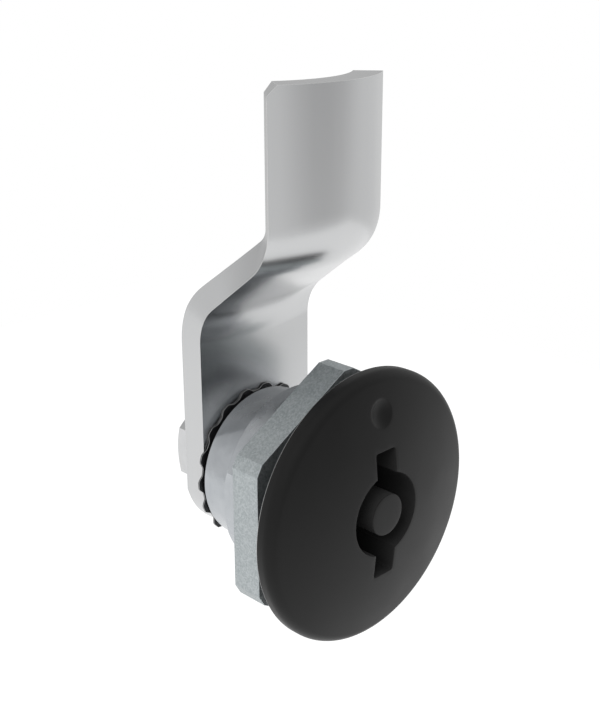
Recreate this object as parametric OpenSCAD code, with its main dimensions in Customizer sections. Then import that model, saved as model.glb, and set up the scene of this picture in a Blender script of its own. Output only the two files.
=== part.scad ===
// Quarter-turn cam latch with a double-bit key socket.
// Units are millimetres, +Z is up and the turning axis is Y.
// The origin lies on the turning axis in the plane of the door panel's front face.
// The latch is drawn closed, with the cam pointing up. The key side faces -Y.

/* [Door panel] */
// Thickness of the door panel that the nut clamps
panel_t = 1.6; // [0.8:0.1:3]

/* [Key head] */
// Diameter of the domed key head
head_d = 31.15; // [29:0.05:34]
// How far the middle of the dome stands in front of the panel
head_front = 4.35; // [4.1:0.05:5]
// Radius of the rounding at the rim of the head
rim_round = 1.36; // [0.8:0.02:1.6]
// Diameter of the round key socket
socket_d = 9.56; // [9:0.02:10]
// Diameter of the pin in the key socket
key_pin_d = 4.75; // [4:0.05:5]
// Width of the two bit slots
bit_w = 3; // [2:0.1:3.4]
// Reach of the bit slots from the axis
bit_r = 7.4; // [6.5:0.05:7.5]
// Depth of the key socket behind the panel's front face
socket_depth = 4.5; // [2:0.1:5]
// Diameter of the dimple that shows the direction of the cam
dimple_d = 3.5; // [2:0.1:4]
// Depth of the dimple
dimple_depth = 0.6; // [0.3:0.05:0.7]
// Height of the dimple above the axis
dimple_z = 11.6; // [10.4:0.1:11.8]

/* [Housing] */
// Outside diameter of the neck that passes through the panel
neck_d = 22; // [21.6:0.05:22.4]
// Distance across the two flats of the thread
flats_w = 20.6; // [20.5:0.05:20.8]
// Length of the thread behind the panel's front face
thread_l = 10.45; // [9.5:0.05:11.5]
// Outside diameter of the rear barrel
barrel_d = 18.3; // [18:0.05:19]
// Distance from the panel's front face to the rear of the barrel
barrel_l = 15.52; // [15:0.01:17]
// Diameter of the flange under the key head
flange_d = 25.8; // [25.4:0.1:26]
// Thickness of the flange
flange_t = 1; // [0.8:0.05:1.1]
// Thickness of the flange gasket
gasket_t = 0.6; // [0.4:0.05:0.7]

/* [Nut] */
// Distance across the flats of the nut
nut_af = 27; // [27:0.1:28]
// Distance across the cut corners of the nut
nut_corners = 30.35; // [30:0.05:31]
// Thickness of the nut
nut_t = 3.81; // [3:0.01:5]

/* [Cam] */
// Width of the cam
cam_w = 16.73; // [16:0.01:17.4]
// Thickness of the cam
cam_t = 3.17; // [3:0.01:3.3]
// Height of the tip of the cam above the axis
cam_top = 45.32; // [38:0.02:60]
// How far the edges of the upper plate stand in front of the lower plate
cam_offset = 11.14; // [10:0.01:12]
// Radius of the curved front of the upper plate
cam_curve_r = 13.48; // [12.5:0.02:18]
// Radius of the round lower end of the cam
cam_end_r = 8.65; // [8.4:0.01:9.1]
// Height of the lower bend, measured on the front at the edges
bend_low_z = 19.14; // [18.74:0.02:19.54]
// Height of the upper bend, measured on the front at the edges
bend_high_z = 27.82; // [27.52:0.02:28.12]
// Radius of the lower bend on the front
bend_low_r = 5.65; // [4.8:0.05:6]
// Radius of the upper bend on the front, at the edges
bend_high_r = 5.45; // [4.85:0.05:5.5]
// Size of the cut corner at the leading edge of the tip
cam_cut = 1.3; // [0.5:0.05:2.5]
// Side of the square on the rotor
square_w = 8; // [7:0.05:8.4]

/* [Fastener] */
// Reach of the teeth of the spring washer
wave_r = 9.45; // [9.2:0.05:10]
// Distance across the flats of the bolt head
bolt_af = 10; // [9.8:0.05:10.2]
// Height of the bolt head
bolt_head_t = 4; // [3.5:0.05:4.5]
// Outside diameter of the flat washer
washer_d = 14; // [12:0.1:16]
// Thickness of the flat washer
washer_t = 1.85; // [1:0.05:2]

/* [Hidden] */
// Radial running clearance of the rotor in its bores
run = 0.05;
// Space between pieces that move past each other
gap = 0.3;
// Radial clearance of parts that are dropped over a shaft
loose = 0.15;
// Radial overlap of a thread drawn without its helix
bite = 0.1;
// Radius of the front journal of the rotor
journal_r = 8.4;
// Radius of the rear journal of the rotor
tail_r = 6.5;
// End of the front journal
step_y = 6;
// Length of the stop lug
lug_l = 2.2;
// Radius of the stop lug
lug_r = 8;
// Half of the angle that the stop lug covers
lug_a = 15;
// Angle of free play at each stop
stop_play = 2.5;
// Radius of the thread's crests
thread_r = neck_d / 2 - 0.07;
// Radius of the relief under the gasket
relief_r = neck_d / 2 - 0.1;
// Space inside the hollow of the key head
cup_r = flange_d / 2 + gap + 0.05;
// Front face of the flange
flange_y = -gasket_t - flange_t;
// Height of the rim rounding's centre and the angle at which the dome meets it
rim_h = 1.155;
touch_a = 14.75;
touch_x = head_d / 2 - rim_round + rim_round * sin(touch_a);
// Rise and radius of the dome
rise = head_front - rim_h - rim_round * cos(touch_a);
dome_r = (touch_x * touch_x + rise * rise) / (2 * rise);
// Thickness of the spring washer's strip and height of its teeth
wave_t = 0.3;
tooth_h = 0.55;
// Front of the spring washer
wave_y = barrel_l + gap;
// Front face of the lower plate of the cam
cam_y = wave_y + wave_t;
// Rear face of the lower plate of the cam
cam_back = cam_y + cam_t;
// Half width of the cam
half_w = cam_w / 2;
// Radius of the curved rear of the upper plate
cam_in_r = cam_curve_r - cam_t;
// Half of the angle of the curved upper plate
cam_a = asin(half_w / cam_curve_r);
// Position of the edges of the upper plate
edge_y = cam_y - cam_offset;
// Axis of the curved upper plate
curve_y = edge_y + cam_curve_r * cos(cam_a);
// Where the bends of the cam begin and end
bend_low = 14.2;
bend_high = bend_high_z + 3.83;
// How far the front's bends and upper radius change from the edges to the middle
low_shift = -0.43;
high_shift = 1.24;
high_r_shift = -0.6;
// The same bends on the rear, as distances from the front ones, and their radii
back_low_z = bend_low_z + 1.25;
back_high_z = bend_high_z + 1.89;
back_low_r = 8.9;
back_high_r = 1.75;
back_low_shift = -0.2;
back_high_shift = 0.75;
back_r_shift = 0.3;
// Height at which the sheet starts to take on its curve, and over how much height it does
curve_start = 19.7;
curve_rise = 10.9;
// Number of steps round each bend
bend_steps = 7;
// How far the bent part reaches into the plates
tuck = 0.6;
// How much smaller the bent part is where it is tucked in
inset = 0.02;
// Radius and position of the O-ring cord
cord_r = 0.72;
groove_y = barrel_l - 3.12;
groove_w = 1.9;
groove_r = tail_r - 2 * cord_r - 0.01;
// Fastener sizes that follow the thread
bolt_r = 3;
bolt_tip = 10.5;
square_end = cam_back - 0.3;
bolt_y = cam_back + washer_t;

// Shapes that are turned about the Y axis.
// Heights in the profile count forwards, so a height h lies at y = -h.
module turned() {
    rotate([90, 0, 0])
        rotate_extrude($fn = 144)
            children();
}

// A plain cylinder on the Y axis from y0 to y1.
module drum(r, y0, y1, n = 96) {
    translate([0, y1, 0])
        rotate([90, 0, 0])
            cylinder(r = r, h = y1 - y0, $fn = n);
}

// A cone on the Y axis with radius r0 at y0 and r1 at y1.
module taper(r0, r1, y0, y1, n = 96) {
    translate([0, y1, 0])
        rotate([90, 0, 0])
            cylinder(r1 = r1, r2 = r0, h = y1 - y0, $fn = n);
}

// A flat shape in X and Z that is given depth from y0 to y1.
module slab(y0, y1) {
    translate([0, y1, 0])
        rotate([90, 0, 0])
            linear_extrude(height = y1 - y0)
                children();
}

// A slice of a disc between the angles a0 and a1.
module slice(r, a0, a1) {
    n = 8;
    intersection() {
        circle(r = r, $fn = 96);
        polygon(concat([[0, 0]], [for (i = [0:n]) 1.2 * r * [cos(a0 + (a1 - a0) * i / n), sin(a0 + (a1 - a0) * i / n)]]));
    }
}

// Die-cast housing with flange, flatted thread, barrel, stepped bore and the 90 degree stop pocket.
module housing() {
    color([0.72, 0.73, 0.74])
        difference() {
            union() {
                drum(flange_d / 2, flange_y, -gasket_t);
                intersection() {
                    union() {
                        drum(relief_r, -gasket_t - 0.2, 0.2);
                        drum(neck_d / 2, 0, panel_t);
                        drum(thread_r, panel_t - 0.2, thread_l - 0.5);
                        taper(thread_r, thread_r - 0.5, thread_l - 0.5, thread_l);
                    }
                    translate([-flats_w / 2, -3, -15])
                        cube([flats_w, thread_l + 6, 30]);
                }
                drum(barrel_d / 2, thread_l - 1, barrel_l - 0.35);
                taper(barrel_d / 2, barrel_d / 2 - 0.35, barrel_l - 0.35, barrel_l);
            }
            drum(journal_r + run, flange_y - 1, step_y + gap);
            drum(tail_r + run, step_y, barrel_l + 1);
            slab(step_y, step_y + lug_l + gap)
                slice(lug_r + 0.2, 180 - lug_a - stop_play, 270 + lug_a + stop_play);
        }
}

// Flat gasket between the flange and the panel.
module flange_gasket() {
    color([0.08, 0.08, 0.08])
        difference() {
            drum(flange_d / 2, -gasket_t, 0);
            drum(neck_d / 2 + loose, -gasket_t - 1, 1);
        }
}

// Thin hexagon nut with its six corners cut off.
module hex_nut() {
    color([0.62, 0.65, 0.64])
        difference() {
            intersection() {
                slab(panel_t, panel_t + nut_t)
                    rotate(30)
                        circle(r = nut_af / sqrt(3), $fn = 6);
                slab(panel_t - 1, panel_t + nut_t + 1)
                    circle(r = nut_corners / sqrt(3), $fn = 6);
            }
            drum(thread_r - bite, panel_t - 1, panel_t + nut_t + 1);
            taper(thread_r + 0.4, thread_r - bite, panel_t - 0.01, panel_t + 0.5);
            taper(thread_r - bite, thread_r + 0.4, panel_t + nut_t - 0.5, panel_t + nut_t + 0.01);
        }
}

// Half outline of the key head. The dome is part of a large circle that meets the rim rounding.
module head_profile() {
    arc_x = head_d / 2 - rim_round;
    intersection() {
        translate([0, head_front - dome_r])
            circle(r = dome_r, $fn = 900);
        translate([0, gap])
            square([touch_x, head_front]);
    }
    translate([arc_x, rim_h])
        intersection() {
            circle(r = rim_round, $fn = 96);
            square([rim_round, rim_round]);
        }
    translate([arc_x, gap])
        square([rim_round, rim_h - gap + 0.001]);
}

// Turning core: key head, two journals, stop lug, O-ring groove and the square that drives the cam.
module rotor() {
    color([0.07, 0.07, 0.075])
        difference() {
            union() {
                difference() {
                    turned()
                        head_profile();
                    drum(cup_r, flange_y - gap, 1);
                }
                drum(journal_r, flange_y - gap - 0.2, step_y);
                drum(tail_r, step_y - 0.2, cam_y);
                slab(step_y - 0.2, step_y + lug_l)
                    slice(lug_r, 270 - lug_a, 270 + lug_a);
                slab(cam_y - 0.2, square_end)
                    square(square_w, center = true);
            }
            slab(-head_front - 1, socket_depth)
                difference() {
                    union() {
                        circle(r = socket_d / 2, $fn = 96);
                        square([bit_w, 2 * bit_r], center = true);
                    }
                    circle(r = key_pin_d / 2, $fn = 64);
                }
            dimple_r = (dimple_d * dimple_d / 4 + dimple_depth * dimple_depth) / (2 * dimple_depth);
            dimple_y = -head_front + dimple_z * dimple_z / (2 * dome_r);
            translate([0, dimple_y + dimple_depth - dimple_r, dimple_z])
                sphere(r = dimple_r, $fn = 64);
            difference() {
                drum(tail_r + 1, groove_y - groove_w / 2, groove_y + groove_w / 2);
                drum(groove_r, groove_y - groove_w, groove_y + groove_w);
            }
            drum(bolt_r - bite, bolt_tip - 1, square_end + 1, 48);
        }
}

// Round seal on the rear journal.
module rotor_o_ring() {
    color([0.05, 0.05, 0.05])
        translate([0, groove_y, 0])
            rotate([90, 0, 0])
                rotate_extrude($fn = 72)
                    translate([groove_r + cord_r, 0])
                        circle(r = cord_r, $fn = 24);
}

// Thin spring washer with a toothed outline between the barrel and the cam.
module wave_washer() {
    teeth = 18;
    color([0.05, 0.05, 0.05])
        slab(wave_y, cam_y)
            difference() {
                union() {
                    circle(r = wave_r - tooth_h, $fn = 96);
                    for (i = [0:teeth - 1])
                        rotate(360 / teeth * (i + 0.1))
                            polygon([[wave_r - 0.95, -1.3], [wave_r, -0.7], [wave_r, 0.7], [wave_r - 0.95, 1.3]]);
                }
                circle(r = tail_r + loose, $fn = 96);
            }
}

// Side line of the bent sheet as points [y, z]: up the low plate, round two bends and up the high plate.
function bend_line(y0, y1, z0, z1, r0, r1, n) =
    let (
        a = atan2(y0 - y1, z1 - z0),
        t0 = r0 * tan(a / 2),
        t1 = r1 * tan(a / 2)
    )
    concat(
        [[y0, bend_low]],
        [for (i = [0:n]) [y0 - r0 + r0 * cos(a * i / n), z0 - t0 + r0 * sin(a * i / n)]],
        [for (i = [0:n]) [y1 + r1 - r1 * cos(a * (1 - i / n)), z1 + t1 - r1 * sin(a * (1 - i / n))]],
        [[y1, bend_high]]
    );

// Share of the full curve that the sheet has at height z.
function curved(z) =
    let (s = min(1, max(0, (z - curve_start) / curve_rise)))
    s * s * (3 - 2 * s);

// Share of the way from the edge of the sheet to its middle, where u runs from -1 to 1.
function inward(u) = (cos(u * cam_a) - cos(cam_a)) / (1 - cos(cam_a));

// Side lines of the sheet's front and rear at the place u across it.
function front_line(u) =
    let (b = inward(u), y1 = curve_y - cam_curve_r * cos(u * cam_a))
    bend_line(cam_y, y1, bend_low_z + low_shift * b, bend_high_z + high_shift * b,
        bend_low_r, bend_high_r + high_r_shift * b, bend_steps);
function back_line(u) =
    let (b = inward(u), y1 = curve_y - cam_in_r * cos(u * cam_a))
    bend_line(cam_back, y1, back_low_z + back_low_shift * b, back_high_z + back_high_shift * b,
        back_low_r, back_high_r + back_r_shift * b, bend_steps);
function tucked(p, front) = [p[0] * (1 - inset / half_w), p[1] + (front ? inset : -inset), p[2]];

// Double bend of the cam, in which the flat sheet takes on the curve of the upper plate.
module joggle() {
    across = 18;
    last = 2 * bend_steps + 3;
    fl = [for (i = [0:across]) front_line(2 * i / across - 1)];
    bl = [for (i = [0:across]) back_line(2 * i / across - 1)];
    rows_f = [for (k = [0:last]) [for (i = [0:across])
        let (u = 2 * i / across - 1, p = fl[i][k], m = curved(p[1]))
        tucked([u * half_w * (1 - m) + cam_curve_r * sin(u * cam_a) * m, p[0], p[1]], true)]];
    rows_b = [for (k = [0:last]) [for (i = [0:across])
        let (u = 2 * i / across - 1, p = bl[i][k], m = curved(p[1]))
        tucked([u * half_w * (1 - m) + cam_in_r * sin(u * cam_a) * m, p[0], p[1]], false)]];
    n = across + 1;
    rows = last + 1;
    pts = concat([for (r = rows_f) each r], [for (r = rows_b) each r]);
    b0 = n * rows;
    f_faces = [for (k = [0:last - 1]) for (i = [0:across - 1])
        let (a = k * n + i) each [[a, a + n, a + 1], [a + 1, a + n, a + n + 1]]];
    b_faces = [for (k = [0:last - 1]) for (i = [0:across - 1])
        let (a = b0 + k * n + i) each [[a, a + 1, a + n], [a + 1, a + n + 1, a + n]]];
    s_faces = [for (k = [0:last - 1]) each [
        [k * n, b0 + k * n, k * n + n], [b0 + k * n, b0 + k * n + n, k * n + n],
        [k * n + across, k * n + n + across, b0 + k * n + across],
        [b0 + k * n + across, k * n + n + across, b0 + k * n + n + across]]];
    e_faces = [for (i = [0:across - 1]) let (t = last * n) each [
        [i, i + 1, b0 + i], [i + 1, b0 + i + 1, b0 + i],
        [t + i, b0 + t + i, t + i + 1], [t + i + 1, b0 + t + i, b0 + t + i + 1]]];
    polyhedron(points = pts, faces = concat(f_faces, b_faces, s_faces, e_faces), convexity = 6);
}

// Flat lower plate of the cam with a round end.
module cam_plate() {
    slab(cam_y, cam_back)
        union() {
            intersection() {
                circle(r = cam_end_r, $fn = 96);
                translate([-half_w, -cam_w])
                    square([cam_w, 2 * cam_w]);
            }
            translate([-half_w, 0])
                square([cam_w, bend_low + tuck]);
        }
}

// Curved upper plate of the cam with square edges and one cut corner.
module cam_tip() {
    difference() {
        translate([0, curve_y, bend_high - tuck])
            linear_extrude(height = cam_top - bend_high + tuck)
                difference() {
                    slice(cam_curve_r, 270 - cam_a, 270 + cam_a);
                    circle(r = cam_in_r, $fn = 96);
                }
        translate([0, curve_y, cam_top])
            rotate([0, 0, -cam_a])
                translate([0, -cam_curve_r - 1, 0])
                    rotate([0, 45, 0])
                        cube([cam_cut * sqrt(2), 12, cam_cut * sqrt(2)], center = true);
    }
}

// Cam: square hole, flat plate, double bend and curved tip.
module cam() {
    color([0.75, 0.76, 0.77])
        difference() {
            union() {
                cam_plate();
                joggle();
                cam_tip();
            }
            slab(cam_y - 1, cam_back + 1)
                square(square_w + 0.1, center = true);
        }
}

// Flat washer under the bolt head.
module flat_washer() {
    color([0.74, 0.75, 0.76])
        difference() {
            drum(washer_d / 2, cam_back, bolt_y, 72);
            drum(bolt_r + 0.2, cam_back - 1, bolt_y + 1, 48);
        }
}

// Hexagon head bolt that clamps the cam to the rotor.
module hex_bolt() {
    color([0.74, 0.75, 0.76]) {
        intersection() {
            slab(bolt_y, bolt_y + bolt_head_t)
                rotate(30)
                    circle(r = bolt_af / sqrt(3), $fn = 6);
            union() {
                drum(bolt_af, bolt_y - 1, bolt_y + bolt_head_t - 0.6);
                taper(bolt_af / 2 + 0.86, bolt_af / 2 - 0.2, bolt_y + bolt_head_t - 0.6, bolt_y + bolt_head_t);
            }
        }
        drum(bolt_r, bolt_tip, bolt_y + 0.2, 48);
    }
}

housing();
flange_gasket();
hex_nut();
rotor();
rotor_o_ring();
wave_washer();
cam();
flat_washer();
hex_bolt();
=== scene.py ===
"""Looks of the quarter-turn cam latch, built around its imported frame. Lengths are in metres."""

import math

import bmesh
import bpy
from mathutils import Matrix
from mathutils import Vector
from mathutils.geometry import delaunay_2d_cdt


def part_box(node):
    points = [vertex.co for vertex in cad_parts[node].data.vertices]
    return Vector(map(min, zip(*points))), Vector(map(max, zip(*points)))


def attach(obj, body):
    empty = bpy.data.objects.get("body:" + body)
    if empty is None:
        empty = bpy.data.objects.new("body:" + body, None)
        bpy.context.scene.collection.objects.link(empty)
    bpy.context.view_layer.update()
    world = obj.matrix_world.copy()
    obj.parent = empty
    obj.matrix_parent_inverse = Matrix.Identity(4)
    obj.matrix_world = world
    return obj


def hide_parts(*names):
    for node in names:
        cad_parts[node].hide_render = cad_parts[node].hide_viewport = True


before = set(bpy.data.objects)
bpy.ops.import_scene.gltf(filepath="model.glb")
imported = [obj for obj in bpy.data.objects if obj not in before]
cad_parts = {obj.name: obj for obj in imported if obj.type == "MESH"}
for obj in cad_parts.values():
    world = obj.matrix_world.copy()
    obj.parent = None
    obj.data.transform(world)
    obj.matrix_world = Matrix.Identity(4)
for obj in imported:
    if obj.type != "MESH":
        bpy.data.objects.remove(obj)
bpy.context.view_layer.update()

MM = 0.001

# Camera, solved from the photograph's circles and straight edges
CAMERA_PLACE = (-0.086549, -0.078340, 0.059653)
CAMERA_AZIMUTH = -44.741
CAMERA_ELEVATION = 20.243
CAMERA_ROLL = -0.184
CAMERA_LENS_MM = 59.10
SENSOR_MM = 36.0

# Key head and turning core
HEAD_R = 15.575 * MM
HEAD_FRONT = 4.35 * MM
RIM_ROUND = 1.36 * MM
RIM_PLANE = 1.155 * MM
TOUCH_ANGLE = math.radians(14.75)
HEAD_REAR = 0.3 * MM
REAR_ROUND = 0.13 * MM
CUP_R = 13.25 * MM
CUP_FLOOR = 1.9 * MM
CUP_EDGE = 0.1 * MM
SOCKET_R = 4.78 * MM
SOCKET_DEPTH = 4.5 * MM
BIT_HALF = 1.5 * MM
BIT_R = 7.4 * MM
BIT_CORNER = 0.3 * MM
PIN_R = 2.375 * MM
EDGE_ROUND = 0.10 * MM
DIMPLE_R = 1.75 * MM
DIMPLE_DEPTH = 0.6 * MM
DIMPLE_Z = 11.45 * MM
DIMPLE_SOFT = 0.06 * MM
DIMPLE_LESS = 0.12 * MM
DIMPLE_REACH = 1.35 * DIMPLE_R
DIMPLE_FIELD = 1.45 * DIMPLE_R
JOURNAL_R = 8.4 * MM
JOURNAL_END = 6.0 * MM
TAIL_R = 6.5 * MM
GROOVE_R = 5.05 * MM
GROOVE_START = 11.45 * MM
GROOVE_END = 13.35 * MM
DRIVE_HALF = 4.0 * MM
DRIVE_END_GAP = 0.3 * MM
BOLT_BORE = 2.9 * MM
BORE_END = 9.5 * MM
LUG_R = 8.0 * MM
LUG_END = 8.2 * MM
LUG_HALF_ANGLE = math.radians(15)
LUG_ROOT_R = 0.97 * TAIL_R
LUG_ROOT_DEPTH = 0.2 * MM
SLACK = 0.01 * MM
# Material slot for the inside of the socket, whose lighter black is painted light
SOCKET_PAINTED_LIGHT_FACES = 1
# Material slot for the head's rear edge, whose bright metal is a painted highlight
REAR_EDGE_HIGHLIGHT_FACES = 2

# Fineness of the core's mesh: points round circles, steps along arcs and lines, and the dome's rings
RIM_COUNT = 288
PIN_COUNT = 96
DIMPLE_COUNT = 48
RIM_STEPS = 16
REAR_STEPS = 6
SOCKET_STEPS = 32
BIT_STEPS = 6
EDGE_STEPS = 5
LUG_STEPS = 8
DOME_RINGS = 30
DOME_SPACING = 0.5 * MM
MOUTH_CLEAR = 0.25 * MM
DIMPLE_RINGS = (0.15, 0.3, 0.45, 0.6, 0.72, 0.82, 0.9, 0.95, 0.985, 1.01, 1.04, 1.09, 1.16, 1.26, 1.38)

# Cam
SHEET = 3.17 * MM
CAM_OFFSET = 11.14 * MM
CAM_CURVE_R = 13.48 * MM
CAM_END_R = 8.65 * MM
CAM_CUT = 1.05 * MM
CAM_EDGE = 0.12 * MM
SQUARE_HALF = 4.05 * MM
BEND_LOW = 14.2 * MM
BEND_HIGH = 32.4 * MM
CURVE_START = 19.7 * MM
CURVE_RISE = 10.9 * MM
CAM_COLUMNS = 40
PLATE_STEPS = 6
SLOPE_STEPS = 9
BEND_STEPS = 14

# Bends of the cam in millimetres: lower height, upper height, lower radius and upper radius.
# The first row of each side is at the edges, the second is what changes up to the middle.
FRONT_BENDS = ((19.14, 27.82, 5.65, 6.9), (-0.43, 0, 0, 0.9))
REAR_BENDS = ((20.39, 29.71, 8.9, 1.75), (-0.2, -0.3, 0, 0.3))

# Nut
NUT_FLAT = 13.5 * MM
NUT_CUT = 15.175 * MM
NUT_BORE = 10.83 * MM
NUT_CHAMFER = 0.5 * MM
NUT_EDGE = 0.07 * MM
NUT_COUNT = 96

# Spring washer, with the teeth's turn, half foot and flank as shares of their pitch
WASHER_BORE = 6.65 * MM
WASHER_R = 8.9 * MM
TOOTH_R = 9.45 * MM
TOOTH_COUNT = 18
TOOTH_STEPS = 16
TOOTH_TURN = 0.1
TOOTH_FOOT = 0.36
TOOTH_FLANK = 0.22
WASHER_SHEET = 0.18 * MM
WASHER_EDGE = 0.04 * MM
WAVES = 3

# Studio
FLOOR_DROP = 0.045
FLOOR_SIZE = 0.32
FLOOR_BACK = 0.04
FLOOR_TONE = 0.43
FLOOR_MIRRORED = 0.76
WORLD_LIGHT = 0.55
WALL_LEVEL = 0.87
LAMP_AIM = (0, 0.008, 0.015)

# Soft grey patches on the mirrored walls: direction, nearness at the edge and at the core, and level
FRONT_PATCH = ((0.3, -0.9, 0.35), 0.65, 0.92, 0.54)
REAR_PATCH = ((0.35, 0.65, 0.65), 0.4, 0.75, 0.6)


# Mesh helpers

def add_object(name, verts, faces, body, replaced):
    """Makes a mesh object from points and faces that stands for a CAD node and rides on its body."""
    mesh = bpy.data.meshes.new(name)
    mesh.from_pydata([tuple(v) for v in verts], [], faces)
    tidy = bmesh.new()
    tidy.from_mesh(mesh)
    bmesh.ops.remove_doubles(tidy, verts=tidy.verts, dist=1e-7)
    bmesh.ops.recalc_face_normals(tidy, faces=tidy.faces)
    for face in tidy.faces:
        face.smooth = True
    tidy.to_mesh(mesh)
    tidy.free()
    piece = bpy.data.objects.new(name, mesh)
    bpy.context.scene.collection.objects.link(piece)
    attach(piece, body)
    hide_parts(replaced)
    return piece


def ring_strip(first, second):
    """Quads between two closed rings of vertex numbers."""
    n = len(first)
    return [(first[i], first[(i + 1) % n], second[(i + 1) % n], second[i]) for i in range(n)]


def circle(radius, count):
    """Points of a circle as (x, z)."""
    return [(radius * math.cos(2 * math.pi * i / count), radius * math.sin(2 * math.pi * i / count))
            for i in range(count)]


def add_ring(verts, outline, y):
    """Adds an outline at the depth y and returns its vertex numbers."""
    start = len(verts)
    verts += [(x, y, z) for x, z in outline]
    return list(range(start, start + len(outline)))


def fill(loops, loose, keep):
    """Triangles that fill the space between closed loops, with loose points between them."""
    flat = []
    edges = []
    for loop in loops:
        start = len(flat)
        flat += [Vector((x / MM, z / MM)) for x, z in loop]
        edges += [(start + i, start + (i + 1) % len(loop)) for i in range(len(loop))]
    flat += [Vector((x / MM, z / MM)) for x, z in loose]
    spots, _, triangles, _, _, _ = delaunay_2d_cdt(flat, edges, [], 0, 1e-6)
    places = [(p.x * MM, p.y * MM) for p in spots]
    kept = []
    for t in triangles:
        x = sum(places[i][0] for i in t) / 3
        z = sum(places[i][1] for i in t) / 3
        if keep(x, z):
            kept.append(tuple(t))
    return places, kept


def inside(x, z, outline):
    """True if the point lies within the closed outline."""
    found = False
    for (x0, z0), (x1, z1) in zip(outline, outline[1:] + outline[:1]):
        if (z0 > z) != (z1 > z) and x < (x1 - x0) * (z - z0) / (z1 - z0) + x0:
            found = not found
    return found


def round_edges(piece, width, segments, angle, slot=-1):
    """Rounds sharp edges and keeps flat faces flat in shading. A slot gives the edges its material."""
    bevel = piece.modifiers.new("edges", "BEVEL")
    bevel.material = slot
    bevel.width = width
    bevel.segments = segments
    bevel.limit_method = "ANGLE"
    bevel.angle_limit = math.radians(angle)
    bevel.harden_normals = True


# Key head and turning core

TOUCH_X = HEAD_R - RIM_ROUND + RIM_ROUND * math.sin(TOUCH_ANGLE)
DOME_RISE = HEAD_FRONT - RIM_PLANE - RIM_ROUND * math.cos(TOUCH_ANGLE)
DOME_R = (TOUCH_X ** 2 + DOME_RISE ** 2) / (2 * DOME_RISE)
DIMPLE_BALL = (DIMPLE_R ** 2 + DIMPLE_DEPTH ** 2) / (2 * DIMPLE_DEPTH)


def head_y(x, z):
    """Front surface of the key head: a dome with a soft-edged dimple."""
    y = -HEAD_FRONT + DOME_R - math.sqrt(DOME_R ** 2 - x * x - z * z)
    away = math.hypot(x, z - DIMPLE_Z)
    if away < DIMPLE_REACH:
        sunk = math.sqrt(DIMPLE_BALL ** 2 - away * away) - (DIMPLE_BALL - DIMPLE_DEPTH) - DIMPLE_LESS
        y += 0.5 * (sunk + math.hypot(sunk, DIMPLE_SOFT))
    return y


def arc(x, z, radius, start, end, steps):
    """Points of an arc about (x, z)."""
    return [(x + radius * math.cos(start + (end - start) * i / steps),
             z + radius * math.sin(start + (end - start) * i / steps)) for i in range(steps + 1)]


def between(first, last, steps):
    """Points between two ends, without the ends."""
    return [(first[0] + (last[0] - first[0]) * i / steps, first[1] + (last[1] - first[1]) * i / steps)
            for i in range(1, steps)]


def keyhole(grow):
    """Outline of the double-bit socket, moved outwards by grow. Its number of points is always the same."""
    half = BIT_HALF + grow
    reach = BIT_R + grow
    corner = BIT_CORNER + grow
    radius = SOCKET_R + grow
    meet = math.acos(half / radius)
    foot = radius * math.sin(meet)
    shoulder = reach - corner
    part = arc(0, 0, radius, -meet, meet, SOCKET_STEPS)
    part += between((half, foot), (half, shoulder), BIT_STEPS)
    part += arc(half - corner, shoulder, corner, 0, math.pi / 2, BIT_STEPS)
    part += between((half - corner, reach), (corner - half, reach), BIT_STEPS)
    part += arc(corner - half, shoulder, corner, math.pi / 2, math.pi, BIT_STEPS)
    part += between((-half, shoulder), (-half, foot), BIT_STEPS)
    return part + [(-x, -z) for x, z in part]


def dome_points(keep_out):
    """Points spread over the dome, closer together at the dimple."""
    points = []
    for k in range(1, DOME_RINGS):
        radius = TOUCH_X * k / DOME_RINGS
        count = max(12, int(2 * math.pi * radius / DOME_SPACING))
        points += [(radius * math.cos(a), radius * math.sin(a))
                   for a in (2 * math.pi * (i + 0.5 * (k % 2)) / count for i in range(count))]
    points = [(x, z) for x, z in points if math.hypot(x, z - DIMPLE_Z) > DIMPLE_FIELD]
    points = [(x, z) for x, z in points if not inside(x, z, keep_out)]
    points.append((0.0, DIMPLE_Z))
    for share in DIMPLE_RINGS:
        points += [(x, z + DIMPLE_Z) for x, z in circle(share * DIMPLE_R, DIMPLE_COUNT)]
    return points


def add_dome(verts, faces, mouth):
    """Front of the head, from the rim to the mouth of the key socket."""
    rim = circle(TOUCH_X, RIM_COUNT)
    loose = dome_points(keyhole(EDGE_ROUND + MOUTH_CLEAR))
    places, triangles = fill([rim, mouth], loose, lambda x, z: not inside(x, z, mouth))
    start = len(verts)
    verts += [(x, head_y(x, z), z) for x, z in places]
    faces += [tuple(start + i for i in t) for t in triangles]


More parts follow.
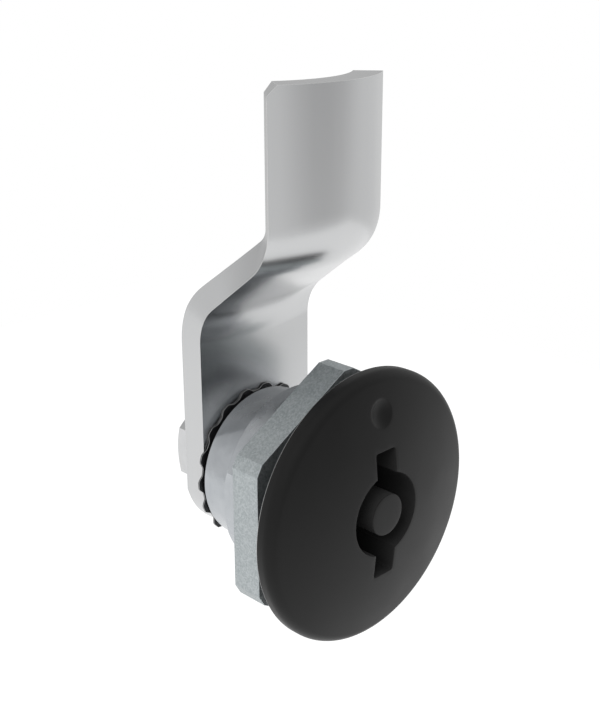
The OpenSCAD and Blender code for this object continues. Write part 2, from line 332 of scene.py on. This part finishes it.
def add_socket(verts, faces, mouth):
    """Walls and floor of the key socket, and the pin in its middle, whose face carries on the dome."""
    steps = EDGE_STEPS
    ring = add_ring(verts, mouth, 0)
    for k, (x, z) in zip(ring, mouth):
        verts[k] = (x, head_y(x, z), z)
    for k in range(1, steps + 1):
        turn = math.pi / 2 * k / steps
        outline = keyhole(EDGE_ROUND * (1 - math.sin(turn)))
        lower = add_ring(verts, outline, 0)
        for i, (x, z) in zip(lower, outline):
            verts[i] = (x, head_y(x, z) + EDGE_ROUND * (1 - math.cos(turn)), z)
        faces += ring_strip(ring, lower)
        ring = lower
    outline = keyhole(0)
    faces += ring_strip(ring, add_ring(verts, outline, SOCKET_DEPTH))
    pin = circle(PIN_R, PIN_COUNT)
    places, triangles = fill([outline, pin], [],
                             lambda x, z: inside(x, z, outline) and math.hypot(x, z) > 0.999 * PIN_R)
    start = len(verts)
    verts += [(x, SOCKET_DEPTH, z) for x, z in places]
    faces += [tuple(start + i for i in t) for t in triangles]
    rings = [add_ring(verts, pin, SOCKET_DEPTH)]
    for k in range(steps + 1):
        turn = math.pi / 2 * k / steps
        radius = PIN_R - EDGE_ROUND + EDGE_ROUND * math.cos(turn)
        y = head_y(radius, 0) + EDGE_ROUND * (1 - math.sin(turn))
        rings.append(add_ring(verts, circle(radius, PIN_COUNT), y))
    for share in (0.75, 0.5, 0.25):
        radius = (PIN_R - EDGE_ROUND) * share
        rings.append(add_ring(verts, circle(radius, PIN_COUNT), head_y(radius, 0)))
    for first, second in zip(rings, rings[1:]):
        faces += ring_strip(first, second)
    faces.append(tuple(rings[-1]))


def add_lug(verts, faces):
    """Stop lug below the rear journal."""
    inner = []
    outer = []
    for i in range(LUG_STEPS + 1):
        a = -math.pi / 2 + LUG_HALF_ANGLE * (2 * i / LUG_STEPS - 1)
        inner.append((LUG_ROOT_R * math.cos(a), LUG_ROOT_R * math.sin(a)))
        outer.append((LUG_R * math.cos(a), LUG_R * math.sin(a)))
    outline = inner + outer[::-1]
    front = add_ring(verts, outline, JOURNAL_END - LUG_ROOT_DEPTH)
    back = add_ring(verts, outline, LUG_END)
    faces += ring_strip(front, back)
    faces.append(tuple(front))
    faces.append(tuple(back))


def core_rings(verts):
    """Rings round the axis, from the head's rim back to the end of the bolt's bore."""
    count = RIM_COUNT
    rings = []
    for i in range(RIM_STEPS + 1):
        a = TOUCH_ANGLE + (math.pi / 2 - TOUCH_ANGLE) * i / RIM_STEPS
        outline = circle(HEAD_R - RIM_ROUND + RIM_ROUND * math.sin(a), count)
        rings.append(add_ring(verts, outline, -RIM_PLANE - RIM_ROUND * math.cos(a)))
    for i in range(REAR_STEPS + 1):
        a = math.pi / 2 * i / REAR_STEPS
        outline = circle(HEAD_R - REAR_ROUND + REAR_ROUND * math.cos(a), count)
        rings.append(add_ring(verts, outline, -HEAD_REAR - REAR_ROUND + REAR_ROUND * math.sin(a)))
    steps = [(CUP_R + CUP_EDGE, -HEAD_REAR), (CUP_R, -HEAD_REAR - CUP_EDGE), (CUP_R, -CUP_FLOOR),
             (JOURNAL_R, -CUP_FLOOR), (JOURNAL_R, JOURNAL_END), (TAIL_R, JOURNAL_END),
             (TAIL_R, GROOVE_START), (GROOVE_R, GROOVE_START), (GROOVE_R, GROOVE_END),
             (TAIL_R, GROOVE_END), (TAIL_R, CAM_Y)]
    rings += [add_ring(verts, circle(radius, count), y) for radius, y in steps]
    square = [(DRIVE_HALF * x / max(abs(x), abs(z)), DRIVE_HALF * z / max(abs(x), abs(z)))
              for x, z in circle(1, count)]
    drive_end = CAM_BACK - DRIVE_END_GAP
    rings += [add_ring(verts, square, CAM_Y), add_ring(verts, square, drive_end)]
    rings += [add_ring(verts, circle(BOLT_BORE, count), y) for y in (drive_end, BORE_END)]
    return rings


def mark_faces(piece):
    """Gives the head's rear edge its painted highlight and the inside of the socket its painted light, each
    as its own material.
    """
    opening = keyhole(SLACK)
    for face in piece.data.polygons:
        x, y, z = face.center
        away = math.hypot(x, z)
        if -HEAD_REAR - REAR_ROUND < y < -HEAD_REAR and away > HEAD_R - REAR_ROUND:
            face.material_index = REAR_EDGE_HIGHLIGHT_FACES
        elif inside(x, z, opening) and away > PIN_R - SLACK and y < SOCKET_DEPTH + MM:
            face.material_index = SOCKET_PAINTED_LIGHT_FACES


def make_rotor():
    """Turning core in one piece: domed key head, socket, pin, journals, lug and the square for the cam."""
    verts = []
    faces = []
    mouth = keyhole(EDGE_ROUND)
    add_dome(verts, faces, mouth)
    rings = core_rings(verts)
    for first, second in zip(rings, rings[1:]):
        faces += ring_strip(first, second)
    faces.append(tuple(rings[-1]))
    add_socket(verts, faces, mouth)
    add_lug(verts, faces)
    piece = add_object("turning_key_core", verts, faces, "turning_core", "rotor")
    sharpen(piece, 32)
    mark_faces(piece)
    return piece


def sharpen(piece, angle):
    """Marks edges that bend by more than an angle as sharp in shading."""
    work = bmesh.new()
    work.from_mesh(piece.data)
    for edge in work.edges:
        if len(edge.link_faces) == 2 and edge.calc_face_angle() > math.radians(angle):
            edge.smooth = False
    work.to_mesh(piece.data)
    work.free()


# Cam

CAM_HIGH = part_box("cam")[1]
CAM_HALF = CAM_HIGH.x
CAM_TOP = CAM_HIGH.z
CAM_BACK = CAM_HIGH.y
CAM_Y = CAM_BACK - SHEET
CAM_INNER_R = CAM_CURVE_R - SHEET
CAM_ANGLE = math.asin(CAM_HALF / CAM_CURVE_R)
CURVE_Y = CAM_Y - CAM_OFFSET + CAM_CURVE_R * math.cos(CAM_ANGLE)


def bend_line(y0, y1, z0, z1, r0, r1, steps):
    """Side line of the sheet as (y, z): up the low plate, round two bends and up the high plate."""
    a = math.atan2(y0 - y1, z1 - z0)
    t0 = r0 * math.tan(a / 2)
    t1 = r1 * math.tan(a / 2)
    turns = [a * i / steps for i in range(steps + 1)]
    low = [(y0 - r0 + r0 * math.cos(t), z0 - t0 + r0 * math.sin(t)) for t in turns]
    high = [(y1 + r1 - r1 * math.cos(t), z1 + t1 - r1 * math.sin(t)) for t in reversed(turns)]
    slope = between(low[-1], high[0], SLOPE_STEPS)
    return [(y0, BEND_LOW)] + low + slope + high + [(y1, BEND_HIGH)]


def sheet_point(u, y, z, radius):
    """A point across the sheet at u, which takes on the tip's curve between the two bends."""
    s = min(1.0, max(0.0, (z - CURVE_START) / CURVE_RISE))
    share = s * s * (3 - 2 * s)
    x = u * CAM_HALF * (1 - share) + radius * math.sin(u * CAM_ANGLE) * share
    return (x, y, z)


def sheet_line(u, front):
    """Points up one side of the cam at the place u across it, from its round end to its tip."""
    radius = CAM_CURVE_R if front else CAM_INNER_R
    y0 = CAM_Y if front else CAM_BACK
    y1 = CURVE_Y - radius * math.cos(u * CAM_ANGLE)
    inward = (math.cos(u * CAM_ANGLE) - math.cos(CAM_ANGLE)) / (1 - math.cos(CAM_ANGLE))
    edge, change = FRONT_BENDS if front else REAR_BENDS
    bends = [(e + c * inward) * MM for e, c in zip(edge, change)]
    foot = -math.sqrt(CAM_END_R ** 2 - (u * CAM_HALF) ** 2)
    line = [(u * CAM_HALF, y0, foot + (BEND_LOW - foot) * k / PLATE_STEPS) for k in range(PLATE_STEPS)]
    line += [sheet_point(u, y, z, radius) for y, z in bend_line(y0, y1, *bends, BEND_STEPS)]
    top = CAM_TOP - max(0.0, CAM_CUT - (u + 1) * CAM_ANGLE * CAM_CURVE_R)
    shelf = CAM_TOP - 1.5 * CAM_CUT
    for k in range(1, PLATE_STEPS + 1):
        line.append(sheet_point(u, y1, BEND_HIGH + (shelf - BEND_HIGH) * k / PLATE_STEPS, radius))
    line.append(sheet_point(u, y1, top, radius))
    return line


def cut_square(piece):
    """Cuts the square hole for the drive through the cam."""
    mesh = bpy.data.meshes.new("square")
    box = bmesh.new()
    bmesh.ops.create_cube(box, size=2)
    for v in box.verts:
        v.co = (v.co.x * SQUARE_HALF, CAM_Y + SHEET / 2 + v.co.y * SHEET, v.co.z * SQUARE_HALF)
    box.to_mesh(mesh)
    box.free()
    cutter = bpy.data.objects.new("square", mesh)
    bpy.context.scene.collection.objects.link(cutter)
    hole = piece.modifiers.new("hole", "BOOLEAN")
    hole.operation = "DIFFERENCE"
    hole.solver = "EXACT"
    hole.object = cutter
    bpy.context.view_layer.update()
    made = bpy.data.meshes.new_from_object(piece.evaluated_get(bpy.context.evaluated_depsgraph_get()))
    piece.modifiers.clear()
    piece.data = made
    bpy.data.objects.remove(cutter)


def make_cam():
    """Cam of thick sheet with a round end, a double bend and a curved tip with one cut corner."""
    cut = CAM_CUT / (CAM_ANGLE * CAM_CURVE_R) - 1
    columns = [-1, (cut - 1) / 2, cut]
    columns += [cut + (1 - cut) * i / CAM_COLUMNS for i in range(1, CAM_COLUMNS + 1)]
    across = len(columns)
    front = list(zip(*(sheet_line(u, True) for u in columns)))
    back = list(zip(*(sheet_line(u, False) for u in columns)))
    rows = len(front)
    base = across * rows
    verts = [p for row in front + back for p in row]
    faces = []
    for k in range(rows - 1):
        for i in range(across - 1):
            a = k * across + i
            faces.append((a, a + 1, a + across + 1, a + across))
            faces.append((base + a, base + a + across, base + a + across + 1, base + a + 1))
        for a in (k * across, k * across + across - 1):
            faces.append((a, a + across, base + a + across, base + a))
    for k in (0, rows - 1):
        for i in range(across - 1):
            a = k * across + i
            faces.append((a, a + 1, base + a + 1, base + a))
    piece = add_object("bent_cam", verts, faces, "turning_core", "cam")
    cut_square(piece)
    # The rounded edges take slot 1, a brighter metal painted as a highlight
    round_edges(piece, CAM_EDGE, 3, 45, 1)
    return piece


# Nut

def make_nut():
    """Hexagon panel nut with its six corners cut off and a chamfered bore."""
    low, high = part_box("hex_nut")
    side = (NUT_CUT - NUT_FLAT * math.cos(math.pi / 6)) / math.sin(math.pi / 6)
    outline = []
    for k in range(6):
        a = math.pi / 3 * k
        for s in (-side, side):
            x = NUT_FLAT * math.cos(a) - s * math.sin(a)
            z = NUT_FLAT * math.sin(a) + s * math.cos(a)
            outline.append((x, z))
    verts = []
    faces = []
    mouth = circle(NUT_BORE + NUT_CHAMFER, NUT_COUNT)
    wall = circle(NUT_BORE, NUT_COUNT)
    bore = [add_ring(verts, mouth, low.y), add_ring(verts, wall, low.y + NUT_CHAMFER),
            add_ring(verts, wall, high.y - NUT_CHAMFER), add_ring(verts, mouth, high.y)]
    for first, second in zip(bore, bore[1:]):
        faces += ring_strip(first, second)
    faces += ring_strip(add_ring(verts, outline, low.y), add_ring(verts, outline, high.y))
    places, triangles = fill([outline, mouth], [],
                             lambda x, z: inside(x, z, outline) and not inside(x, z, mouth))
    for y in (low.y, high.y):
        start = len(verts)
        verts += [(x, y, z) for x, z in places]
        faces += [tuple(start + i for i in t) for t in triangles]
    piece = add_object("panel_nut", verts, faces, "latch_body", "hex_nut")
    round_edges(piece, NUT_EDGE, 3, 25)
    return piece


# Spring washer

def make_washer():
    """Thin waved spring washer with short teeth round its rim."""
    low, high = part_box("wave_washer")
    count = TOOTH_COUNT * TOOTH_STEPS
    middle = (low.y + high.y) / 2
    swing = (high.y - low.y - WASHER_SHEET) / 2
    outer = []
    for i in range(count):
        place = (i / TOOTH_STEPS - TOOTH_TURN + 0.5) % 1 - 0.5
        share = min(1.0, max(0.0, (TOOTH_FOOT - abs(place)) / TOOTH_FLANK))
        outer.append(WASHER_R + (TOOTH_R - WASHER_R) * share)
    verts = []
    rings = []
    for side in (-1, 1):
        for radii in ([WASHER_BORE] * count, outer):
            start = len(verts)
            for i in range(count):
                a = 2 * math.pi * i / count
                y = middle + swing * math.cos(WAVES * a) + side * WASHER_SHEET / 2
                verts.append((radii[i] * math.cos(a), y, radii[i] * math.sin(a)))
            rings.append(list(range(start, start + count)))
    front_in, front_out, back_in, back_out = rings
    faces = ring_strip(front_in, front_out) + ring_strip(front_out, back_out)
    faces += ring_strip(back_out, back_in) + ring_strip(back_in, front_in)
    piece = add_object("spring_washer", verts, faces, "turning_core", "wave_washer")
    # The rounded edges take slot 1, bright metal painted as a highlight
    round_edges(piece, WASHER_EDGE, 2, 40, 1)
    return piece


# Materials

def new_material(name, color, metallic, roughness):
    """A material with its shader, whose even values are set on its own sockets."""
    material = bpy.data.materials.new(name)
    material.use_nodes = True
    shader = material.node_tree.nodes["Principled BSDF"]
    shader.inputs["Base Color"].default_value = (*color, 1)
    shader.inputs["Metallic"].default_value = metallic
    shader.inputs["Roughness"].default_value = roughness
    return material, shader


def noise(material, scale, detail, stretch=(1, 1, 1), rough=0.5):
    """A noise in the piece's own coordinates, with its scale in features per metre."""
    nodes = material.node_tree.nodes
    links = material.node_tree.links
    place = nodes.new("ShaderNodeTexCoord")
    mapping = nodes.new("ShaderNodeMapping")
    mapping.inputs["Scale"].default_value = stretch
    texture = nodes.new("ShaderNodeTexNoise")
    texture.inputs["Scale"].default_value = scale
    texture.inputs["Detail"].default_value = detail
    texture.inputs["Roughness"].default_value = rough
    links.new(place.outputs["Object"], mapping.inputs["Vector"])
    links.new(mapping.outputs["Vector"], texture.inputs["Vector"])
    return texture.outputs["Fac"]


def grains(material, scale):
    """Grains that each have a random shade, as on galvanised steel."""
    nodes = material.node_tree.nodes
    links = material.node_tree.links
    place = nodes.new("ShaderNodeTexCoord")
    cells = nodes.new("ShaderNodeTexVoronoi")
    cells.inputs["Scale"].default_value = scale
    split = nodes.new("ShaderNodeSeparateColor")
    links.new(place.outputs["Object"], cells.inputs["Vector"])
    links.new(cells.outputs["Color"], split.inputs["Color"])
    return split.outputs["Red"]


def tint(material, shader, value, low, high):
    """Colours the surface from low to high as the value rises through its middle."""
    node = material.node_tree.nodes.new("ShaderNodeValToRGB")
    node.color_ramp.elements[0].position = 0.3
    node.color_ramp.elements[0].color = (*low, 1)
    node.color_ramp.elements[1].position = 0.7
    node.color_ramp.elements[1].color = (*high, 1)
    material.node_tree.links.new(value, node.inputs["Fac"])
    material.node_tree.links.new(node.outputs["Color"], shader.inputs["Base Color"])


def mix_values(material, a, b, share):
    """Mix of two values."""
    node = material.node_tree.nodes.new("ShaderNodeMix")
    node.inputs["Factor"].default_value = share
    material.node_tree.links.new(a, node.inputs["A"])
    material.node_tree.links.new(b, node.inputs["B"])
    return node.outputs["Result"]


def relief(material, shader, value, height):
    """Small relief from a value, with its height in metres."""
    node = material.node_tree.nodes.new("ShaderNodeBump")
    node.inputs["Distance"].default_value = height
    material.node_tree.links.new(value, node.inputs["Height"])
    material.node_tree.links.new(node.outputs["Normal"], shader.inputs["Normal"])


def vary_roughness(material, shader, value, low, high):
    """Roughness that follows a value."""
    node = material.node_tree.nodes.new("ShaderNodeMapRange")
    node.inputs["From Min"].default_value = 0.3
    node.inputs["From Max"].default_value = 0.7
    node.inputs["To Min"].default_value = low
    node.inputs["To Max"].default_value = high
    material.node_tree.links.new(value, node.inputs["Value"])
    material.node_tree.links.new(node.outputs["Result"], shader.inputs["Roughness"])


def satin_black():
    """Satin black coating of the key head, with a very fine grain."""
    material, shader = new_material("satin_black", (0.006, 0.006, 0.006), 0, 0.42)
    shader.inputs["Specular IOR Level"].default_value = 0.21
    cloud = noise(material, 180, 2)
    tint(material, shader, cloud, (0.005, 0.005, 0.005), (0.007, 0.007, 0.007))
    vary_roughness(material, shader, cloud, 0.38, 0.44)
    relief(material, shader, noise(material, 9000, 3), 0.000003)
    return material


def galvanised_steel():
    """Galvanised steel of the nut, with a fine mottled speckle."""
    material, shader = new_material("galvanised_steel", (0.38, 0.41, 0.42), 0.85, 0.45)
    value = mix_values(material, grains(material, 5600), noise(material, 4200, 4, rough=0.65), 0.65)
    tint(material, shader, value, (0.35, 0.385, 0.395), (0.52, 0.555, 0.565))
    vary_roughness(material, shader, value, 0.40, 0.50)
    relief(material, shader, value, 0.000008)
    return material


def bright_casting():
    """Smooth bright metal of the housing, whose reflections are softly clouded."""
    material, shader = new_material("bright_casting", (0.44, 0.46, 0.48), 1, 0.24)
    cloud = noise(material, 260, 3)
    tint(material, shader, cloud, (0.38, 0.40, 0.42), (0.50, 0.52, 0.54))
    vary_roughness(material, shader, cloud, 0.18, 0.30)
    relief(material, shader, noise(material, 330, 2), 0.00010)
    return material


def satin_steel():
    """Satin zinc-plated steel of the cam, with a faint grain along the sheet."""
    material, shader = new_material("satin_steel", (0.54, 0.545, 0.55), 1, 0.18)
    grain = noise(material, 900, 4, stretch=(1, 1, 0.05))
    tint(material, shader, grain, (0.55, 0.555, 0.56), (0.56, 0.565, 0.57))
    vary_roughness(material, shader, grain, 0.25, 0.27)
    relief(material, shader, grain, 0.0000001)
    return material


def zinc_plate():
    """Zinc-plated steel of the bolt and its washer."""
    material, shader = new_material("zinc_plate", (0.6, 0.605, 0.61), 1, 0.33)
    cloud = noise(material, 700, 3)
    tint(material, shader, cloud, (0.56, 0.565, 0.57), (0.64, 0.645, 0.65))
    vary_roughness(material, shader, cloud, 0.28, 0.40)
    relief(material, shader, noise(material, 3000, 3), 0.000003)
    return material


def black_spring_steel():
    """Blackened spring steel of the toothed washer."""
    material, shader = new_material("black_spring_steel", (0.012, 0.012, 0.013), 0, 0.3)
    cloud = noise(material, 1500, 3)
    tint(material, shader, cloud, (0.010, 0.010, 0.011), (0.016, 0.016, 0.017))
    vary_roughness(material, shader, cloud, 0.24, 0.36)
    return material


def black_rubber():
    """Matt black rubber of the gasket and the O-ring."""
    material, shader = new_material("black_rubber", (0.02, 0.02, 0.02), 0, 0.7)
    grain = noise(material, 4000, 3)
    tint(material, shader, grain, (0.016, 0.016, 0.016), (0.025, 0.025, 0.025))
    vary_roughness(material, shader, grain, 0.64, 0.76)
    relief(material, shader, grain, 0.000006)
    return material


def socket_painted_light():
    """Black coating inside the key socket, duller than on the face, with its black lightened as painted
    light.
    """
    material, shader = new_material("socket_painted_light", (0.03, 0.03, 0.03), 0, 0.7)
    shader.inputs["Specular IOR Level"].default_value = 0.1
    cloud = noise(material, 180, 2)
    tint(material, shader, cloud, (0.028, 0.028, 0.028), (0.032, 0.032, 0.032))
    return material


def edge_highlight_metal(name, level):
    """Bright metal on an edge, as a painted highlight where a rounded edge catches the light."""
    material, shader = new_material(name, (level, level, level), 1, 0.3)
    low = 0.92 * level
    high = 1.08 * level
    tint(material, shader, noise(material, 900, 2), (low, low, low), (high, high, high))
    return material


def paint(piece, *materials):
    """Gives a piece its material, and the others to the faces that have their numbers."""
    while len(piece.data.materials) < len(materials):
        piece.data.materials.append(materials[0])
    for i in range(len(piece.material_slots)):
        piece.material_slots[i].link = "OBJECT"
        piece.material_slots[i].material = materials[min(i, len(materials) - 1)]


# Studio

def look_back():
    """Direction from the part to the camera."""
    a = math.radians(CAMERA_AZIMUTH)
    e = math.radians(CAMERA_ELEVATION)
    return Vector((math.sin(a) * math.cos(e), -math.cos(a) * math.cos(e), math.sin(e)))


def make_camera():
    """Camera at the photograph's place and angle."""
    data = bpy.data.cameras.new("camera")
    data.lens = CAMERA_LENS_MM
    data.sensor_width = SENSOR_MM
    data.sensor_fit = "AUTO"
    data.clip_start = 0.005
    data.clip_end = 20
    camera = bpy.data.objects.new("camera", data)
    bpy.context.scene.collection.objects.link(camera)
    back = look_back()
    level = Vector((0, 0, 1)).cross(back).normalized()
    above = back.cross(level)
    roll = math.radians(CAMERA_ROLL)
    right = level * math.cos(roll) + above * math.sin(roll)
    up = above * math.cos(roll) - level * math.sin(roll)
    turn = Matrix((right, up, back)).transposed()
    camera.matrix_world = Matrix.Translation(CAMERA_PLACE) @ turn.to_4x4()
    bpy.context.scene.camera = camera


def seen_white(tree):
    """1 for rays from the camera and for mirrored and passing rays, which show the white background."""
    path = tree.nodes.new("ShaderNodeLightPath")
    total = path.outputs["Is Camera Ray"]
    for name in ("Is Glossy Ray", "Is Transmission Ray"):
        node = tree.nodes.new("ShaderNodeMath")
        node.operation = "MAXIMUM"
        tree.links.new(total, node.inputs[0])
        tree.links.new(path.outputs[name], node.inputs[1])
        total = node.outputs["Value"]
    return total


def grey_patch(tree, towards, edge, core, level):
    """Strength of the mirrored walls, which fall off softly to a grey level around one direction."""
    place = tree.nodes.new("ShaderNodeTexCoord")
    dot = tree.nodes.new("ShaderNodeVectorMath")
    dot.operation = "DOT_PRODUCT"
    dot.inputs[1].default_value = Vector(towards).normalized()
    shade = tree.nodes.new("ShaderNodeMapRange")
    shade.inputs["From Min"].default_value = edge
    shade.inputs["From Max"].default_value = core
    shade.inputs["To Min"].default_value = WALL_LEVEL
    shade.inputs["To Max"].default_value = level
    tree.links.new(place.outputs["Generated"], dot.inputs[0])
    tree.links.new(dot.outputs["Value"], shade.inputs["Value"])
    return shade.outputs["Result"]


def wall_strength(tree):
    """Strength of the background: 1 for the camera, and for mirrored rays less at the grey patches."""
    darker = tree.nodes.new("ShaderNodeMath")
    darker.operation = "MINIMUM"
    path = tree.nodes.new("ShaderNodeLightPath")
    plain = tree.nodes.new("ShaderNodeMath")
    plain.operation = "MAXIMUM"
    tree.links.new(grey_patch(tree, *FRONT_PATCH), darker.inputs[0])
    tree.links.new(grey_patch(tree, *REAR_PATCH), darker.inputs[1])
    tree.links.new(darker.outputs["Value"], plain.inputs[0])
    tree.links.new(path.outputs["Is Camera Ray"], plain.inputs[1])
    return plain.outputs["Value"]


def make_world():
    """Plain white surroundings that light the part softly."""
    world = bpy.data.worlds.new("studio")
    bpy.context.scene.world = world
    world.use_nodes = True
    tree = world.node_tree
    tree.nodes.clear()
    light = tree.nodes.new("ShaderNodeBackground")
    light.inputs["Color"].default_value = (1, 1, 1, 1)
    light.inputs["Strength"].default_value = WORLD_LIGHT
    white = tree.nodes.new("ShaderNodeBackground")
    white.inputs["Color"].default_value = (1, 1, 1, 1)
    mix = tree.nodes.new("ShaderNodeMixShader")
    out = tree.nodes.new("ShaderNodeOutputWorld")
    tree.links.new(wall_strength(tree), white.inputs["Strength"])
    tree.links.new(seen_white(tree), mix.inputs["Fac"])
    tree.links.new(light.outputs["Background"], mix.inputs[1])
    tree.links.new(white.outputs["Background"], mix.inputs[2])
    tree.links.new(mix.outputs["Shader"], out.inputs["Surface"])


def make_floor():
    """Pale floor that keeps the part's soft shadow."""
    mesh = bpy.data.meshes.new("floor")
    half = FLOOR_SIZE / 2
    corners = [(-half, -half, 0), (half, -half, 0), (half, half, 0), (-half, half, 0)]
    mesh.from_pydata(corners, [], [(0, 1, 2, 3)])
    floor = bpy.data.objects.new("floor", mesh)
    floor.location = (0, FLOOR_BACK, -FLOOR_DROP)
    bpy.context.scene.collection.objects.link(floor)
    material = bpy.data.materials.new("pale_floor")
    material.use_nodes = True
    tree = material.node_tree
    tree.nodes.clear()
    matt = tree.nodes.new("ShaderNodeBsdfDiffuse")
    matt.inputs["Color"].default_value = (FLOOR_TONE, FLOOR_TONE, FLOOR_TONE, 1)
    glow = tree.nodes.new("ShaderNodeEmission")
    lift = tree.nodes.new("ShaderNodeMath")
    lift.operation = "MULTIPLY"
    lift.inputs[1].default_value = FLOOR_MIRRORED
    add = tree.nodes.new("ShaderNodeAddShader")
    out = tree.nodes.new("ShaderNodeOutputMaterial")
    tree.links.new(seen_white(tree), lift.inputs[0])
    tree.links.new(lift.outputs["Value"], glow.inputs["Strength"])
    tree.links.new(matt.outputs["BSDF"], add.inputs[0])
    tree.links.new(glow.outputs["Emission"], add.inputs[1])
    tree.links.new(add.outputs["Shader"], out.inputs["Surface"])
    mesh.materials.append(material)


def make_lamp(name, place, size, power):
    """Soft area lamp that faces the part and isn't mirrored in it."""
    data = bpy.data.lights.new(name, "AREA")
    data.shape = "DISK"
    data.size = size
    data.energy = power
    lamp = bpy.data.objects.new(name, data)
    lamp.location = place
    lamp.visible_glossy = False
    aim = Vector(LAMP_AIM) - Vector(place)
    lamp.rotation_euler = aim.to_track_quat("-Z", "Y").to_euler()
    bpy.context.scene.collection.objects.link(lamp)


# The scene

make_camera()
make_world()
make_floor()
make_lamp("key", (-0.34, -0.10, 0.34), 0.32, 0.9)
make_lamp("fill", (0.30, -0.16, 0.26), 0.30, 0.3)
make_lamp("back", (0.05, 0.38, 0.30), 0.30, 0.05)

# Bright edge metal as a painted highlight, for the head's rear edge and the washer's bevels
edge = edge_highlight_metal("painted_highlight_edge", 0.42)
# The socket gets painted light and the head's rear edge a painted highlight
paint(make_rotor(), satin_black(), socket_painted_light(), edge)
# The cam's rounded edges get brighter metal as a painted highlight
paint(make_cam(), satin_steel(), edge_highlight_metal("cam_painted_highlight_edge", 0.86))
paint(make_nut(), galvanised_steel())
# The washer's rounded edges get the bright edge metal as a painted highlight
paint(make_washer(), black_spring_steel(), edge)
paint(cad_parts["housing"], bright_casting())
zinc = zinc_plate()
paint(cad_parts["flat_washer"], zinc)
paint(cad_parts["hex_bolt"], zinc)
rubber = black_rubber()
paint(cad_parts["flange_gasket"], rubber)
paint(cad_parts["rotor_o_ring"], rubber)

bpy.context.scene.view_settings.view_transform = "Standard"
